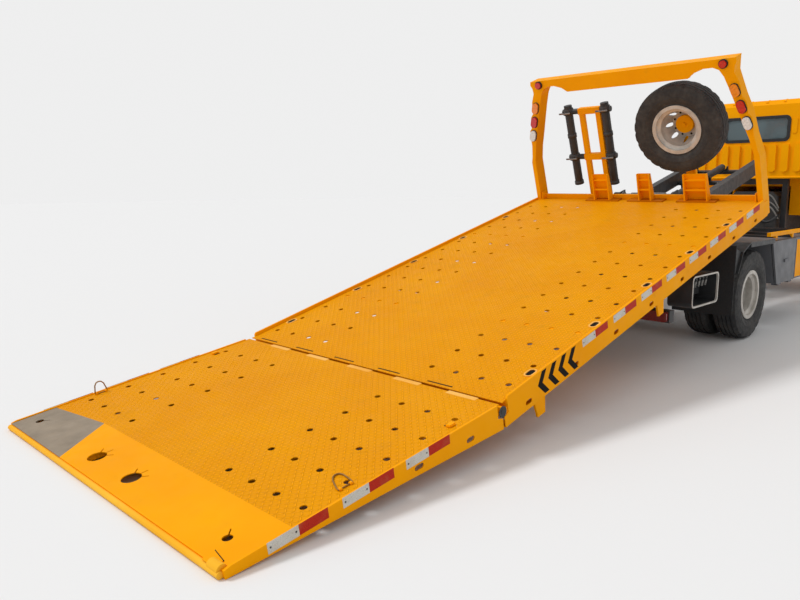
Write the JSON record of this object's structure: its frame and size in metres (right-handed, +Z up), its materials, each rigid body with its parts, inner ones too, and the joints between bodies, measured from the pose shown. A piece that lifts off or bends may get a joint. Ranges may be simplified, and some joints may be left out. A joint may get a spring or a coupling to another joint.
{
  "type": "flatbed tow truck",
  "caption": "Cab-over flatbed tow truck with a tilting, sliding deck, a hinged tail ramp resting on the ground, a headboard portal and a spare wheel",
  "frame": {"origin": "centre of the footprint, on the ground, with the deck tilted and the tail tip resting on the ground", "axes": "+X forward towards the cab, +Y to the vehicle's left, +Z up; joint value 0 is the pose of the picture, and the deck is level and in line at tilt 14.5 degrees"},
  "size_m": [10.4751, 2.59, 2.4521],
  "materials": {
    "yellow_paint": "gloss",
    "chassis_black": "satin",
    "grey_paint": "satin",
    "cast_iron": "matt",
    "tyre_rubber": "matt",
    "rim_paint": "satin",
    "spring_steel": "satin",
    "chrome_rod": "polished",
    "tank_aluminium": "satin",
    "black_plastic": "matt",
    "cab_glass": "gloss",
    "lamp_red": "gloss",
    "lamp_clear": "gloss",
    "lamp_amber": "gloss",
    "seat_fabric": "matt",
    "drum_steel": "satin"
  },
  "bodies": {
    "chassis": {"chassis_frame": "chassis_black", "sub_frame": "chassis_black", "rear_axle": "cast_iron", "front_axle": "cast_iron", "leaf_springs": "spring_steel", "engine": "cast_iron", "toolbox_right": "grey_paint", "side_box_right": "grey_paint", "fuel_tank": "tank_aluminium", "battery_box": "black_plastic", "air_tanks": "chassis_black", "box_rails": "yellow_paint", "mudguards": "grey_paint", "mudflaps": "black_plastic", "control_box": "grey_paint", "underrun_bar": "chassis_black", "tail_lamps": "lamp_red", "cab_shell": "yellow_paint", "cab_glass": "cab_glass", "grille": "black_plastic", "bumper": "yellow_paint", "headlamps": "lamp_clear", "mirrors": "black_plastic", "seats": "seat_fabric", "dashboard": "black_plastic"},
    "knuckle_left": {"knuckle_left": "cast_iron"},
    "knuckle_right": {"knuckle_right": "cast_iron"},
    "wheel_front_left": {"tyre_front_left": "tyre_rubber", "rim_front_left": "rim_paint"},
    "wheel_front_right": {"tyre_front_right": "tyre_rubber", "rim_front_right": "rim_paint"},
    "wheels_rear_left": {"tyres_rear_left": "tyre_rubber", "rims_rear_left": "rim_paint"},
    "wheels_rear_right": {"tyres_rear_right": "tyre_rubber", "rims_rear_right": "rim_paint"},
    "door_left": {"door_left": "yellow_paint", "door_glass_left": "cab_glass"},
    "door_right": {"door_right": "yellow_paint", "door_glass_right": "cab_glass"},
    "toolbox_door": {"toolbox_door": "grey_paint"},
    "tilt": {"tilt_frame": "chassis_black", "slide_cylinder": "chassis_black"},
    "lift_barrels": {"lift_barrels": "chassis_black"},
    "lift_rods": {"lift_rods": "chrome_rod"},
    "deck": {"deck_frame": "yellow_paint", "deck_rails": "yellow_paint", "deck_floor": "yellow_paint", "slide_rod": "chrome_rod", "headboard": "yellow_paint", "headboard_lamps": "lamp_amber", "front_brackets": "yellow_paint", "front_carriers": "yellow_paint", "stowed_arms": "chassis_black", "spare_tyre": "tyre_rubber", "spare_rim": "rim_paint", "winch_frame": "chassis_black"},
    "tail": {"tail_frame": "yellow_paint", "tail_floor": "yellow_paint"},
    "winch_drum": {"winch_drum": "drum_steel"}
  },
  "joints": [
    {"name": "tilt", "type": "hinge", "parent": "chassis", "child": "tilt", "pos_m": [-0.64244, 0, 0.75], "axis": [0, 1, 0], "range_deg": [0, 14.5]},
    {"name": "deck_slide", "type": "slide", "parent": "tilt", "child": "deck", "axis": [0.9681, 0, 0.2504], "range_m": [0, 2.6]},
    {"name": "tail_fold", "type": "hinge", "parent": "deck", "child": "tail", "pos_m": [-3.56216, 0, 0.23764], "axis": [0, 1, 0], "range_deg": [-5.95, 10]},
    {"name": "lift_barrel_swing", "type": "hinge", "parent": "chassis", "child": "lift_barrels", "pos_m": [0.61956, 0, 0.56], "axis": [0, 1, 0], "range_deg": [0, 26.95]},
    {"name": "lift_rod_slide", "type": "slide", "parent": "lift_barrels", "child": "lift_rods", "axis": [0.7885, 0, 0.6151], "range_m": [-0.177, 0]},
    {"name": "steer_left", "type": "hinge", "parent": "chassis", "child": "knuckle_left", "pos_m": [4.12756, 0.745, 0.404], "axis": [0, 0, 1], "range_deg": [-35, 35]},
    {"name": "steer_right", "type": "hinge", "parent": "chassis", "child": "knuckle_right", "pos_m": [4.12756, -0.745, 0.404], "axis": [0, 0, 1], "range_deg": [-35, 35]},
    {"name": "roll_front_left", "type": "hinge", "parent": "knuckle_left", "child": "wheel_front_left", "pos_m": [4.12756, 0.88, 0.404], "axis": [0, 1, 0], "continuous": true},
    {"name": "roll_front_right", "type": "hinge", "parent": "knuckle_right", "child": "wheel_front_right", "pos_m": [4.12756, -0.88, 0.404], "axis": [0, 1, 0], "continuous": true},
    {"name": "roll_rear_left", "type": "hinge", "parent": "chassis", "child": "wheels_rear_left", "pos_m": [0.32756, 0.943, 0.404], "axis": [0, 1, 0], "continuous": true},
    {"name": "roll_rear_right", "type": "hinge", "parent": "chassis", "child": "wheels_rear_right", "pos_m": [0.32756, -0.943, 0.404], "axis": [0, 1, 0], "continuous": true},
    {"name": "door_left_swing", "type": "hinge", "parent": "chassis", "child": "door_left", "pos_m": [4.97656, 1.029, 1.33], "axis": [0, 0, -1], "range_deg": [0, 70]},
    {"name": "door_right_swing", "type": "hinge", "parent": "chassis", "child": "door_right", "pos_m": [4.97656, -1.029, 1.33], "axis": [0, 0, 1], "range_deg": [0, 70]},
    {"name": "toolbox_door_swing", "type": "hinge", "parent": "chassis", "child": "toolbox_door", "pos_m": [1.10756, -1.049, 0.43], "axis": [1, 0, 0], "range_deg": [0, 90]},
    {"name": "winch_turn", "type": "hinge", "parent": "deck", "child": "winch_drum", "pos_m": [0.34056, 0, 1.26245], "axis": [0, 1, 0], "continuous": true}
  ],
  "couplings": [
    {"joint": "lift_barrel_swing", "follows": "tilt", "ratio": 1.8566},
    {"joint": "lift_rod_slide", "follows": "tilt", "m_per_rad": -0.69845},
    {"joint": "steer_right", "follows": "steer_left", "ratio": 1}
  ]
}
